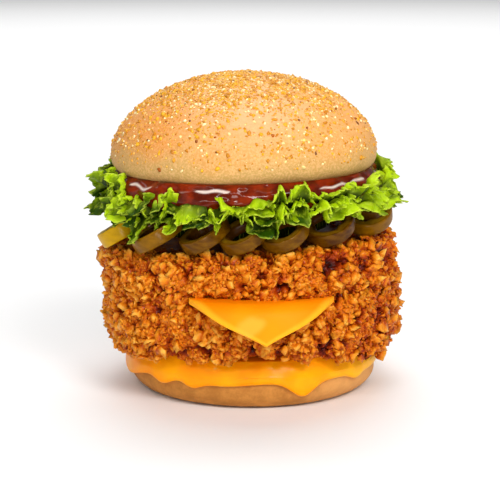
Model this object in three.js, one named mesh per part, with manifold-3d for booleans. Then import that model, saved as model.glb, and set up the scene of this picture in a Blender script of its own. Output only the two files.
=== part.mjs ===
// A tall chicken burger: heel, orange sauce, two crumbed fillets with a cheese slice between
// them, a row of pickled pepper rings, two tiers of frilly lettuce, red sauce and a domed crown
// sprinkled with maize grits. Millimetres, +Z up, the origin on the table under the middle of
// the stack. The front, where the cheese corner hangs down, faces -Y.
import * as THREE from 'three';
import { mergeVertices } from 'three/addons/utils/BufferGeometryUtils.js';
import Module from 'manifold-3d';

// Angles are in degrees round the stack: 0 is the front, +90 the right, 180 the back.
const gap = 0.35; // left between neighbours

const heel = { radius: 48.2, footRadius: 40, height: 17, middle: 1, steps: 40 };
const orangeSauce = { onTop: 2, onSide: 1.5, edge: 10.4 };
const lowerFillet = {
  radius: 57.6,
  bottom: 19.7,
  top: 40.8,
  sideDroop: 5,
  topLean: 0,
  sags: false,
  fullTop: true,
  seed: 11,
};
const upperFillet = {
  radius: 57.4,
  bottom: 43.7,
  top: 60.2,
  sideDroop: 0,
  topLean: 2.4,
  sags: true,
  fullTop: false,
  seed: 29,
};
const leftSag = { depth: 2.6, from: 12, to: 56 };
const crust = { steps: 68, roundness: 6.5, fullRoundness: 4.4, crag: 2.2 };
const cheese = {
  side: 72,
  thickness: 2,
  rimInset: 0.3,
  forward: 26.1,
  turn: 5,
  bottom: 41.45,
  bend: 5,
  hang: 66,
  // how much further the slice hangs than its flat length, on its middle line and away from it
  middleStretch: 0.89,
  sideStretch: 1.35,
  outerStretch: 6.4,
  stretchEnds: [0.55, 0.75],
};
const peppers = { thickness: 4.9, hole: 0.56, lean: 21.5, tipShare: 0.18, rest: 59.9 };
const lettuce = { thickness: 0.8, middle: -1.6 };
const redSauce = { radius: 50.6, bottom: 76.2, innerBottom: 77.6, top: 82.6, steps: 40 };
const crown = { radius: 51.6, bottom: 82.95, equator: 91, dome: 30.6, middle: -2.2, steps: 38 };
const grits = { count: 42, size: 0.95, spread: 74, seed: 5 };
// How far the layers lean, in degrees, left side lower.
const lowerLean = upperFillet.topLean;
const upperLean = 1;
const crownLean = 1;

// Each drip: where it is, its half width in degrees, and how far it runs down.
const orangeDrips = [
  [-74, 15, 4.2],
  [-43, 6, 2.6],
  [-27, 5, 2],
  [22, 7, 5],
  [52, 5, 1.8],
  [98, 9, 2.6],
  [138, 7, 4.4],
  [172, 9, 2.2],
  [213, 8, 4.8],
  [247, 9, 3],
];
const redDrips = [
  [-62, 9, 0.9],
  [-40, 6, 1.2],
  [-17, 9, 1.4],
  [28, 7, 1.1],
  [62, 8, 1],
  [125, 9, 1.2],
  [170, 8, 1.4],
  [215, 9, 1.2],
  [252, 8, 1],
];

// Each ring of pepper: its angle, its distance from the middle, its own radius, how far it leans
// outwards, and the angle that it faces.
const pepperRings = [
  [-77, 50.5, 9.6, 20, -48],
  [-46, 47, 10.7, 18, -40],
  [-20.3, 46.8, 9.7, 18, -20],
  [-2.4, 47, 9.5, 18, -2],
  [15.4, 46.8, 9.4, 18, 15],
  [39.4, 45.7, 10.1, 16, 36],
  [70, 47.8, 9.6, 14, 52],
  [101, 46.5, 10, 12, 94],
  [130, 46.5, 9.4, 12, 130],
  [158, 46.2, 10.2, 12, 158],
  [187, 46.4, 9.7, 12, 187],
  [216, 46, 10.3, 12, 216],
  [246, 46.6, 9.5, 12, 246],
];

// Leaves of the two tiers: the angles each covers, the phase of its frill, and the swells that
// lift its edge, as angle, half width and height.
const lowerLeaves = [
  { name: 'lettuce_lower_left', from: -170, to: -52, phase: 0.4, swells: [[-76, 15, 2.4]] },
  { name: 'lettuce_lower_front', from: -48, to: 72, phase: 2.1, swells: [[20, 30, -0.6]] },
  { name: 'lettuce_lower_back', from: 76, to: 186, phase: 4.4, swells: [[130, 18, 0.8]] },
];
const upperLeaves = [
  {
    name: 'lettuce_upper_left',
    from: -128,
    to: -15,
    phase: 1.2,
    swells: [
      [-111, 9, 13],
      [-84, 7, 3],
      [-40, 8, 2],
    ],
  },
  {
    name: 'lettuce_upper_right',
    from: -11,
    to: 104,
    phase: 3.3,
    swells: [
      [6.5, 4.5, 9.5],
      [40, 13, 6.5],
      [66, 6, 4.5],
      [96, 6, 9],
    ],
  },
  {
    name: 'lettuce_upper_back',
    from: 108,
    to: 228,
    phase: 5.2,
    swells: [
      [132, 9, 6],
      [170, 7, 8],
      [206, 9, 5],
    ],
  },
];

// The run of a tier from the middle outwards: radius, height, and how much of the frill shows.
const lowerTier = {
  rows: [
    [32.5, 61.6, 0],
    [34.5, 73.4, 0],
    [51.5, 73.1, 0.03],
    [55.8, 71.9, 0.35],
    [59, 70.2, 0.85],
    [61.3, 69.4, 1],
  ],
  frill: 1.9,
  waves: 25,
  steps: 30,
};
const upperTier = {
  rows: [
    [29, 75.3, 0],
    [50.5, 75.3, 0.04],
    [55.2, 75.8, 0.35],
    [58.3, 76.8, 0.8],
    [60.6, 77.5, 1],
  ],
  frill: 3.4,
  waves: 27,
  steps: 33,
};

const looks = {
  crown: new THREE.MeshStandardMaterial({ color: '#efb66c', roughness: 0.75, metalness: 0 }),
  redSauce: new THREE.MeshStandardMaterial({ color: '#8f230b', roughness: 0.15, metalness: 0 }),
  lettuce: new THREE.MeshStandardMaterial({ color: '#86ac17', roughness: 0.45, metalness: 0 }),
  pepper: new THREE.MeshStandardMaterial({ color: '#7f5a12', roughness: 0.3, metalness: 0 }),
  crust: new THREE.MeshStandardMaterial({ color: '#c4742a', roughness: 0.6, metalness: 0 }),
  cheese: new THREE.MeshStandardMaterial({ color: '#fbad16', roughness: 0.35, metalness: 0 }),
  orangeSauce: new THREE.MeshStandardMaterial({ color: '#fb9808', roughness: 0.25, metalness: 0 }),
  heel: new THREE.MeshStandardMaterial({ color: '#c88840', roughness: 0.8, metalness: 0 }),
};

const wasm = await Module();
wasm.setup();

const radians = THREE.MathUtils.degToRad;
const smooth = THREE.MathUtils.smoothstep;

// A repeatable random number between 0 and 1 at each call.
function seeded(seed) {
  let state = seed;
  return () => {
    state = (state + 0x6d2b79f5) | 0;
    let t = Math.imul(state ^ (state >>> 15), 1 | state);
    t = (t + Math.imul(t ^ (t >>> 7), 61 | t)) ^ t;
    return ((t ^ (t >>> 14)) >>> 0) / 4294967296;
  };
}

// The place at an angle round the stack, a distance from its axis and a height.
function placeAt(angle, radius, height) {
  return new THREE.Vector3(
    radius * Math.sin(radians(angle)),
    -radius * Math.cos(radians(angle)),
    height,
  );
}

// The sum of bell-shaped swells or drips at an angle.
function bells(list, angle) {
  let sum = 0;
  for (const [centre, halfWidth, size] of list) {
    const away = THREE.MathUtils.euclideanModulo(angle - centre + 180, 360) - 180;
    sum += size * Math.exp(-((away / halfWidth) ** 2));
  }
  return sum;
}

// The value of a line through points [x, y] at x; x rises along the list.
function along(points, x) {
  let i = 1;
  while (i < points.length - 1 && points[i][0] < x) i++;
  const [x0, y0] = points[i - 1];
  const [x1, y1] = points[i];
  return y0 + ((y1 - y0) * (x - x0)) / (x1 - x0);
}

// A closed surface from points and triangles, turned to face outwards.
function closed(points, triangles) {
  let volume = 0;
  for (const [a, b, c] of triangles) {
    volume += points[a].dot(points[b].clone().cross(points[c]));
  }
  const faces = volume < 0 ? triangles.map(([a, b, c]) => [a, c, b]) : triangles;
  const geometry = new THREE.BufferGeometry().setFromPoints(points);
  geometry.setIndex(faces.flat());
  return geometry;
}

// A surface round the axis: row(j, angle) gives the point of row j at an angle, and the first
// and last rows are single points on the axis.
function turned(rows, steps, row) {
  const points = [row(0, 0), row(rows - 1, 0)];
  const at = (i, j) => 2 + (j - 1) * steps + (i % steps);
  for (let j = 1; j < rows - 1; j++) {
    for (let i = 0; i < steps; i++) points.push(row(j, (360 * i) / steps));
  }
  const triangles = [];
  for (let i = 0; i < steps; i++) {
    triangles.push([0, at(i + 1, 1), at(i, 1)]);
    triangles.push([1, at(i, rows - 2), at(i + 1, rows - 2)]);
    for (let j = 1; j < rows - 2; j++) {
      triangles.push([at(i, j), at(i + 1, j), at(i + 1, j + 1)]);
      triangles.push([at(i, j), at(i + 1, j + 1), at(i, j + 1)]);
    }
  }
  return closed(points, triangles);
}

// A thin solid on both sides of a surface: pointAt(i, j) with i across and j along, both faces
// split into triangles alike.
function thinSolid(across, down, pointAt, thickness) {
  const middle = (i, j) => pointAt(i, j);
  const normal = (i, j) => {
    const u = middle(Math.min(i + 1, across), j).sub(middle(Math.max(i - 1, 0), j));
    const v = middle(i, Math.min(j + 1, down)).sub(middle(i, Math.max(j - 1, 0)));
    return u.cross(v).normalize();
  };
  const count = (across + 1) * (down + 1);
  const points = [];
  for (const side of [0.5, -0.5]) {
    for (let j = 0; j <= down; j++) {
      for (let i = 0; i <= across; i++) {
        points.push(middle(i, j).addScaledVector(normal(i, j), side * thickness));
      }
    }
  }
  const at = (i, j) => j * (across + 1) + i;
  const triangles = [];
  const wall = (a, b) => triangles.push([a, b, b + count], [a, b + count, a + count]);
  for (let j = 0; j < down; j++) {
    for (let i = 0; i < across; i++) {
      const [a, b, c, d] = [at(i, j), at(i + 1, j), at(i + 1, j + 1), at(i, j + 1)];
      triangles.push([a, c, b], [a, d, c]);
      triangles.push([a + count, b + count, c + count], [a + count, c + count, d + count]);
    }
    wall(at(across, j), at(across, j + 1));
    wall(at(0, j + 1), at(0, j));
  }
  for (let i = 0; i < across; i++) {
    wall(at(i, 0), at(i + 1, 0));
    wall(at(i + 1, down), at(i, down));
  }
  return closed(points, triangles);
}

function asSolid(geometry) {
  const bare = geometry.clone();
  bare.deleteAttribute('normal');
  bare.deleteAttribute('uv');
  const merged = mergeVertices(bare);
  return new wasm.Manifold(
    new wasm.Mesh({
      numProp: 3,
      vertProperties: merged.attributes.position.array,
      triVerts: new Uint32Array(merged.index.array),
    }),
  );
}

function asGeometry(solid) {
  const mesh = solid.getMesh();
  const geometry = new THREE.BufferGeometry();
  geometry.setAttribute('position', new THREE.BufferAttribute(mesh.vertProperties, 3));
  geometry.setIndex(new THREE.BufferAttribute(mesh.triVerts, 1));
  return geometry;
}

function piece(name, geometry, material) {
  geometry.computeVertexNormals();
  const mesh = new THREE.Mesh(geometry, material);
  mesh.name = name;
  return mesh;
}

// A group of meshes that leans by an angle about the front-to-back line at a height.
function leaning(meshes, angle, height) {
  const group = new THREE.Group();
  group.rotation.y = radians(-angle);
  group.position.z = height;
  for (const mesh of meshes) {
    mesh.position.z -= height;
    group.add(mesh);
  }
  return group;
}

// The heel's outline from the foot up to its flat top, as height and radius.
const heelSide = [
  [0, heel.footRadius],
  [1.3, heel.footRadius + 4.6],
  [4.6, heel.radius - 0.6],
  [9, heel.radius],
  [13, heel.radius - 0.6],
  [heel.height - 1, heel.radius - 2.8],
  [heel.height, heel.radius - 6.2],
];

function makeHeel() {
  const rows = [[0, 0], ...heelSide, [heel.height, 0]];
  const geometry = turned(rows.length, heel.steps, (j, angle) => {
    return placeAt(angle, rows[j][1], rows[j][0]);
  });
  return geometry.translate(heel.middle, 0, 0);
}

// Lies on the heel and runs down its side; the drips are its lower edge.
function makeOrangeSauce() {
  const top = heel.height + orangeSauce.onTop;
  const shoulder = heel.radius - 6.2;
  const geometry = turned(12, heel.steps, (j, angle) => {
    const ripple = 0.35 * Math.sin(radians(5 * angle)) + 0.25 * Math.sin(radians(9 * angle + 40));
    const edge = orangeSauce.edge + ripple - bells(orangeDrips, angle);
    const bulge = 0.09 * bells(orangeDrips, angle);
    const wall = along(heelSide, edge) + gap;
    const belly = Math.max(heelSide[3][0], edge + 0.3);
    const rows = [
      [0, heel.height + gap],
      [shoulder + gap, heel.height + gap],
      [heel.radius - 2.8 + gap, heel.height - 1 + gap / 2],
      [heel.radius - 0.6 + gap, 13],
      [along(heelSide, belly) + gap, belly],
      [wall, edge],
      [wall + 0.75 * orangeSauce.onSide + bulge, edge - 0.2],
      [wall + orangeSauce.onSide + bulge, edge + 1.3],
      [heel.radius + 0.9 * orangeSauce.onSide, 13.4],
      [heel.radius - 0.9, top - 1.1],
      [shoulder + 1.4, top],
      [0, top],
    ];
    return placeAt(angle, rows[j][0], rows[j][1]);
  });
  return geometry.translate(heel.middle, 0, 0);
}

// How far the upper fillet's top and what lies on it sag at a distance to the right.
function sagAt(across) {
  return leftSag.depth * smooth(-across, leftSag.from, leftSag.to);
}

// The height of a fillet's top above its flat, right side up.
function topSlope(spec, across) {
  return Math.tan(radians(spec.topLean)) * across - (spec.sags ? sagAt(across) : 0);
}

// A fillet: a rounded slab whose side is broken into crags by seeded draws.
function makeFillet(spec) {
  const random = seeded(spec.seed);
  const turns = [-76, -50, -22, 8, 36, 62, 80];
  const half = (spec.top - spec.bottom) / 2;
  const middle = spec.bottom + half;
  const lean = spec.seed * 37;
  return turned(turns.length + 6, crust.steps, (j, angle) => {
    const side = j - 3;
    const outline =
      spec.radius +
      0.8 * Math.sin(radians(2 * angle + 90)) * -1 +
      0.7 * Math.sin(radians(3 * angle + lean)) +
      0.5 * Math.sin(radians(7 * angle + 2 * lean));
    const droop = spec.sideDroop * Math.sin(radians(angle)) ** 2;
    const crag = () => crust.crag * (2 * random() - 1);
    const leanAt = (around, radius) => topSlope(spec, radius * Math.sin(radians(around)));
    if (j === 0) return placeAt(0, 0, spec.bottom);
    if (j === turns.length + 5) return placeAt(0, 0, spec.top);
    if (side < 0) {
      const radius = outline * (j === 1 ? 0.55 : 0.86);
      return placeAt(angle, radius, spec.bottom + 0.4 * random());
    }
    if (side >= turns.length) {
      const radius = outline * (side === turns.length ? 0.86 : 0.55);
      return placeAt(angle, radius, spec.top - 0.4 * random() + leanAt(angle, radius));
    }
    const turn = radians(turns[side]);
    const out = Math.cos(turn) ** 0.62;
    const up = Math.sign(turn) * Math.abs(Math.sin(turn)) ** 0.85;
    const roundness = up > 0 === spec.fullTop ? crust.fullRoundness : crust.roundness;
    const radius = outline - roundness * (1 - out) + crag() * (0.3 + 0.7 * out);
    const rise = half * up + 0.5 * crag() * (1 - Math.abs(up));
    const lift = leanAt(angle, radius) * Math.max(up, 0) - droop * smooth(-up, 0, 1);
    return placeAt(angle + 0.8 * crag(), radius, middle + rise + lift);
  });
}

// The height lost and the distance gained by the slice past the rim of the fillet below it.
function overRim(path) {
  const turn = Math.min(path / cheese.bend, radians(cheese.hang));
  const rest = Math.max(0, path - cheese.bend * radians(cheese.hang));
  return {
    out: cheese.bend * Math.sin(turn) + rest * Math.cos(turn),
    down: cheese.bend * (1 - Math.cos(turn)) + rest * Math.sin(turn),
  };
}

// The slice lies flat between the fillets, and its front corner hangs over the lower one.
function makeCheese(rim) {
  const count = 12;
  const half = cheese.side / 2;
  const turn = radians(cheese.turn);
  const height = cheese.bottom + cheese.thickness / 2;
  const pointAt = (i, j) => {
    const u = half * ((2 * i) / count - 1);
    const v = half * ((2 * j) / count - 1);
    const sideways = (u - v) * Math.SQRT1_2;
    const ahead = (u + v) * Math.SQRT1_2 + cheese.forward;
    const x = sideways * Math.cos(turn) + ahead * Math.sin(turn);
    const y = sideways * Math.sin(turn) - ahead * Math.cos(turn);
    const radius = Math.hypot(x, y);
    const beyond = radius - rim;
    if (beyond <= 0) return new THREE.Vector3(x, y, height);
    const turned = Math.abs(Math.atan2(x, -y) - turn);
    const more = cheese.sideStretch * turned + cheese.outerStretch * turned ** 2;
    const stretch = cheese.middleStretch + more * (1 - smooth(turned, ...cheese.stretchEnds));
    const { out, down } = overRim(beyond * stretch);
    return new THREE.Vector3(x, y, 0)
      .multiplyScalar((rim + out) / radius)
      .setZ(height - down);
  };
  return thinSolid(count, count, pointAt, cheese.thickness);
}

// A slice across a pickled pepper: a ring with a slightly three-lobed outline.
function makePepperRing(radius) {
  const steps = 16;
  const half = peppers.thickness / 2;
  const section = [
    [1, half - 0.3],
    [1, -half + 0.3],
    [peppers.hole, -half],
    [peppers.hole, half],
  ];
  const points = [];
  const triangles = [];
  for (let i = 0; i < steps; i++) {
    const angle = (360 * i) / steps;
    const lobe = 1 + 0.035 * Math.cos(radians(3 * angle));
    for (const [share, height] of section) {
      points.push(placeAt(angle, radius * share * lobe, height));
    }
    for (let j = 0; j < section.length; j++) {
      const next = (j + 1) % section.length;
      const [a, b] = [section.length * i, section.length * ((i + 1) % steps)];
      triangles.push([a + j, b + j, b + next], [a + j, b + next, a + next]);
    }
  }
  return closed(points, triangles);
}

// Stands a ring on the upper fillet, leaning on the next one like a fallen domino.
function placePepperRing(mesh, [angle, distance, radius, outwardLean, facing]) {
  const outward = placeAt(facing, 1, 0);
  const forward = placeAt(facing + 90, 1, 0);
  const lean = new THREE.Quaternion().setFromAxisAngle(outward, radians(peppers.lean));
  const tip = new THREE.Quaternion().setFromAxisAngle(forward, radians(outwardLean));
  mesh.quaternion.multiplyQuaternions(tip, lean);
  const lowest =
    radius * 1.035 * Math.sin(radians(peppers.lean)) +
    0.5 * peppers.thickness * Math.cos(radians(peppers.lean)) +
    peppers.tipShare * radius * Math.sin(radians(outwardLean));
  mesh.position.copy(placeAt(angle, distance, peppers.rest + lowest));
  mesh.position.z -= sagAt(mesh.position.x);
}

// The frill of a leaf at an angle, between -1 and 1, uneven in width and depth.
function frillAt(angle, waves, phase) {
  const turn = radians(angle);
  const uneven = 1.4 * Math.sin(3 * turn + phase) + 0.7 * Math.sin(7 * turn + 2 * phase);
  const depth = 0.78 + 0.22 * Math.sin(5 * turn + phase);
  return depth * Math.sin(waves * turn + uneven + phase);
}

// A leaf lies flat over its inner rows, and its outer rows swell and frill.
function makeLeaf(leaf, tier) {
  const pointAt = (i, j) => {
    const angle = leaf.from + ((leaf.to - leaf.from) * i) / tier.steps;
    const [reach, height, share] = tier.rows[j];
    const frill = frillAt(angle, tier.waves, leaf.phase);
    const swell = bells(leaf.swells, angle) * smooth(share, 0.04, 1);
    const radius = reach + share * (0.7 * Math.sin(radians(11 * angle)) - 0.05 * swell);
    const rise = share * tier.frill * frill * (1 + 0.02 * swell);
    const sway = (share * 28 * Math.cos(radians(tier.waves * angle))) / radius;
    return placeAt(angle + sway, radius, height + swell + rise);
  };
  const geometry = thinSolid(tier.steps, tier.rows.length - 1, pointAt, lettuce.thickness);
  return geometry.translate(lettuce.middle, 0, 0);
}

// A bead pressed out all round under the crown, thinner in the middle.
function makeRedSauce() {
  const { radius, bottom, innerBottom, top } = redSauce;
  const geometry = turned(9, redSauce.steps, (j, angle) => {
    const swell = bells(redDrips, angle);
    const ripple = 0.25 * Math.sin(radians(8 * angle)) + 0.2 * Math.sin(radians(13 * angle + 60));
    const out = radius + 0.55 * swell + ripple;
    const rows = [
      [0, innerBottom],
      [36, innerBottom],
      [46.5, bottom + 0.2],
      [out - 1.1, bottom + 0.3 - 0.25 * swell],
      [out, bottom + 2.1 - 0.3 * swell],
      [out - 0.7, bottom + 4.4],
      [out - 3.1, top - 0.5],
      [44, top],
      [0, top],
    ];
    return placeAt(angle, rows[j][0], rows[j][1]);
  });
  return geometry.translate(crown.middle, 0, 0);
}

// The dome's point at a climb of 0 degrees at its widest and 90 on top.
function domePoint(angle, climb) {
  const radius = crown.radius * Math.cos(radians(climb));
  return placeAt(angle, radius, crown.equator + crown.dome * Math.sin(radians(climb)));
}

// The crown, with its largest grits fused on.
function makeCrown() {
  const under = [
    [0, crown.bottom],
    [36, crown.bottom],
    [44, crown.bottom + 0.2],
    [48.6, crown.bottom + 1.7],
    [51.3, crown.bottom + 4.4],
  ];
  const climbs = [0, 12, 25, 38, 51, 64, 77, 90];
  const bun = turned(under.length + climbs.length, crown.steps, (j, angle) => {
    if (j < under.length) return placeAt(angle, under[j][0], under[j][1]);
    return domePoint(angle, climbs[j - under.length]);
  });
  const random = seeded(grits.seed);
  const solids = [asSolid(bun)];
  const golden = 180 * (3 - Math.sqrt(5));
  for (let i = 0; i < grits.count; i++) {
    const down = Math.sqrt((i + 0.5) / grits.count) * grits.spread;
    const grain = new THREE.IcosahedronGeometry(grits.size * (0.8 + 0.4 * random()), 0);
    grain.rotateX(6 * random()).rotateZ(6 * random());
    const at = domePoint(golden * i + 14 * random(), 90 - down);
    solids.push(asSolid(grain.translate(at.x, at.y, at.z)));
  }
  const fused = wasm.Manifold.union(solids);
  return asGeometry(fused).translate(crown.middle, 0, 0);
}

const burger = new THREE.Group();
burger.add(piece('heel', makeHeel(), looks.heel));
burger.add(piece('orange_sauce', makeOrangeSauce(), looks.orangeSauce));

const slice = makeCheese(lowerFillet.radius - cheese.rimInset);
burger.add(piece('cheese', slice, looks.cheese));
burger.add(piece('fillet_lower', makeFillet(lowerFillet), looks.crust));
burger.add(piece('fillet_upper', makeFillet(upperFillet), looks.crust));

const rings = pepperRings.map((ring, i) => {
  const name = `pepper_ring_${String(i + 1).padStart(2, '0')}`;
  const mesh = piece(name, makePepperRing(ring[2]), looks.pepper);
  placePepperRing(mesh, ring);
  return mesh;
});
const lower = lowerLeaves.map((leaf) => piece(leaf.name, makeLeaf(leaf, lowerTier), looks.lettuce));
const upper = upperLeaves.map((leaf) => piece(leaf.name, makeLeaf(leaf, upperTier), looks.lettuce));
const cap = [
  piece('red_sauce', makeRedSauce(), looks.redSauce),
  piece('crown', makeCrown(), looks.crown),
];
burger.add(leaning([...rings, ...lower], lowerLean, upperFillet.top));
burger.add(leaning(upper, upperLean, redSauce.bottom));
burger.add(leaning(cap, crownLean, redSauce.top));

export default burger;
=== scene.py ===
import math

import bpy
from mathutils import Matrix, Vector, noise


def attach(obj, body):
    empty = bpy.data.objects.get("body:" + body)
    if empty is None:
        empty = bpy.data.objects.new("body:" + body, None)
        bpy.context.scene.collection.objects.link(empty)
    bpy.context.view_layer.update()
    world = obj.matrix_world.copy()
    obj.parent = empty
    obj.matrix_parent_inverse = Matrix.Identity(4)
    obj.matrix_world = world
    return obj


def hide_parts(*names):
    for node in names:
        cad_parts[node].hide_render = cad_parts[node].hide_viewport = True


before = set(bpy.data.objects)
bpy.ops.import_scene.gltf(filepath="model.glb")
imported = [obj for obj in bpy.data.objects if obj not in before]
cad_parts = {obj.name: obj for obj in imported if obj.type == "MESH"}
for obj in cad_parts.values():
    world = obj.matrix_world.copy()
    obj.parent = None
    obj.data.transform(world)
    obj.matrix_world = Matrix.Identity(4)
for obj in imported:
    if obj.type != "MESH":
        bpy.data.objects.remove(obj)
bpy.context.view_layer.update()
# Without a seed, the noise that warps the crust differs from run to run
noise.seed_set(7)


# Angles are in degrees round the stack: 0 is the front, +90 the right, 180 the back.
def placeAt(angle, radius, height):
    turn = math.radians(angle)
    return Vector((radius * math.sin(turn), -radius * math.cos(turn), height))


def smooth(value, low, high):
    share = min(1.0, max(0.0, (value - low) / (high - low)))
    return share * share * (3 - 2 * share)


# A bell-shaped swell of size 1 at an angle.
def bell(centre, halfWidth, angle):
    away = (angle - centre + 180) % 360 - 180
    return math.exp(-((away / halfWidth) ** 2))


# The sum of swells at an angle, each a centre, a half width and sizes, of which one is asked for.
def bells(swells, angle, which=0):
    total = 0.0
    for centre, halfWidth, *sizes in swells:
        total += sizes[which] * bell(centre, halfWidth, angle)
    return total


# The sum of waves round the stack at an angle, each given as height, count and start in radians.
def waved(waves, angle):
    turn = math.radians(angle)
    return sum(height * math.sin(count * turn + start) for height, count, start in waves)


# A point on the smooth curve through a list of points, at a position counted in points.
def curveThrough(points, position):
    last = len(points) - 1
    start = min(int(position), last - 1)
    t = position - start
    a, b, c, d = (points[max(0, min(last, start + k))] for k in (-1, 0, 1, 2))
    return tuple(
        0.5 * (2 * q + (r - p) * t + (2 * p - 5 * q + 4 * r - s) * t * t + (3 * q - p - 3 * r + s) * t ** 3)
        for p, q, r, s in zip(a, b, c, d)
    )


# A point on an outline, at ring j of a piece's rings.
def outlinePoint(outline, j, rings):
    return curveThrough(outline, (len(outline) - 1) * j / (rings - 1))


# A turn about the front-to-back line at a height, right side up for a positive angle.
def leaning(angle, height):
    about = Matrix.Translation((0, 0, height))
    return about @ Matrix.Rotation(math.radians(-angle), 4, "Y") @ about.inverted()


def signedVolume(points, faces):
    total = 0.0
    for face in faces:
        for k in range(1, len(face) - 1):
            total += points[face[0]].dot(points[face[k]].cross(points[face[k + 1]]))
    return total


# A closed mesh object, its faces outwards, with a number per point for each named mark.
def closedPiece(name, points, faces, marks):
    if signedVolume(points, faces) < 0:
        faces = [face[::-1] for face in faces]
    mesh = bpy.data.meshes.new(name)
    mesh.from_pydata(points, [], faces)
    mesh.polygons.foreach_set("use_smooth", [True] * len(faces))
    for label, values in marks.items():
        mesh.attributes.new(label, "FLOAT", "POINT").data.foreach_set("value", values)
    mesh.update()
    piece = bpy.data.objects.new(name, mesh)
    bpy.context.scene.collection.objects.link(piece)
    return piece


# A surface round the axis: the first and last rings are single points on it.
def turnedPiece(name, rings, steps, pointAt, marks=()):
    spots = [(0, 0.0), (rings - 1, 0.0)]
    spots += [(j, 360.0 * i / steps) for j in range(1, rings - 1) for i in range(steps)]
    made = [pointAt(j, angle) for j, angle in spots]
    points = [m[0] for m in made] if marks else made

    def at(i, j):
        return 2 + (j - 1) * steps + i % steps

    faces = []
    for i in range(steps):
        faces.append((0, at(i + 1, 1), at(i, 1)))
        faces.append((1, at(i, rings - 2), at(i + 1, rings - 2)))
        for j in range(1, rings - 2):
            faces.append((at(i, j), at(i + 1, j), at(i + 1, j + 1), at(i, j + 1)))
    values = {label: [m[1 + k] for m in made] for k, label in enumerate(marks)}
    return closedPiece(name, points, faces, values)


# A thin closed sheet on both sides of a grid of points.
def thinPiece(name, grid, thickness, marks):
    down, across = len(grid), len(grid[0])
    sides = ([], [])
    for j in range(down):
        for i in range(across):
            u = grid[j][min(i + 1, across - 1)] - grid[j][max(i - 1, 0)]
            v = grid[min(j + 1, down - 1)][i] - grid[max(j - 1, 0)][i]
            out = u.cross(v).normalized() * (thickness / 2)
            sides[0].append(grid[j][i] + out)
            sides[1].append(grid[j][i] - out)
    count = down * across
    faces = []
    for j in range(down - 1):
        for i in range(across - 1):
            a = j * across + i
            faces.append((a, a + 1, a + 1 + across, a + across))
            faces.append((a + count, a + count + across, a + count + across + 1, a + count + 1))
    border = list(range(across))
    border += [j * across + across - 1 for j in range(1, down)]
    border += [(down - 1) * across + i for i in range(across - 2, -1, -1)]
    border += [j * across for j in range(down - 2, 0, -1)]
    for a, b in zip(border, border[1:] + border[:1]):
        faces.append((b, a, a + count, b + count))
    both = {label: values * 2 for label, values in marks.items()}
    return closedPiece(name, sides[0] + sides[1], faces, both)


# Moves each point of a piece along its normal by what amountAt gives, and keeps that as a mark
# from 0 at low to 1 at high.
def roughened(piece, amountAt, mark, low, high):
    mesh = piece.data
    normals = [Vector(n.vector) for n in mesh.vertex_normals]
    amounts = [amountAt(vertex.co) for vertex in mesh.vertices]
    for vertex, normal, amount in zip(mesh.vertices, normals, amounts):
        vertex.co += normal * amount
    shares = [min(1.0, max(0.0, (amount - low) / (high - low))) for amount in amounts]
    mesh.attributes.new(mark, "FLOAT", "POINT").data.foreach_set("value", shares)
    mesh.update()


def finished(piece, finish, slotName, *nodes):
    piece.data.materials.clear()
    piece.data.materials.append(finish)
    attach(piece, "root")
    if nodes:
        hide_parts(*nodes)


# A socket that does sums: each operator adds its Math node to the same graph.
class Wire:
    def __init__(self, graph, socket):
        self.graph = graph
        self.socket = socket

    def sum(self, operation, first, second):
        return self.graph.add("ShaderNodeMath", {"operation": operation}, {0: first, 1: second})

    def __add__(self, other):
        return self.sum("ADD", self, other)

    def __sub__(self, other):
        return self.sum("SUBTRACT", self, other)

    def __rsub__(self, other):
        return self.sum("SUBTRACT", other, self)

    def __mul__(self, other):
        return self.sum("MULTIPLY", self, other)

    def __truediv__(self, other):
        return self.sum("DIVIDE", self, other)

    def __pow__(self, other):
        return self.sum("POWER", self, other)

    __radd__ = __add__
    __rmul__ = __mul__


# A node tree that is filled by one method: settings first, then values or links.
class Graph:
    def __init__(self, tree):
        self.tree = tree

    def add(self, kind, settings=None, inputs=None, output=0):
        node = self.tree.nodes.new(kind)
        for name, value in (settings or {}).items():
            if name == "stops":
                self.fillRamp(node.color_ramp, value)
            else:
                setattr(node, name, value)
        self.feed(node, inputs or {})
        return Wire(self, node.outputs[output]) if len(node.outputs) else None

    def feed(self, node, inputs):
        for name, value in inputs.items():
            if isinstance(value, Wire):
                self.tree.links.new(value.socket, node.inputs[name])
            else:
                node.inputs[name].default_value = value

    def fillRamp(self, ramp, stops):
        while len(ramp.elements) < len(stops):
            ramp.elements.new(1.0)
        for element, (position, colour) in zip(ramp.elements, stops):
            element.position = position
            element.color = (*colour, 1.0)

    def between(self, value, low, high):
        settings = {"interpolation_type": "SMOOTHSTEP"}
        return self.add("ShaderNodeMapRange", settings, {"Value": value, "From Min": low, "From Max": high})


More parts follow.
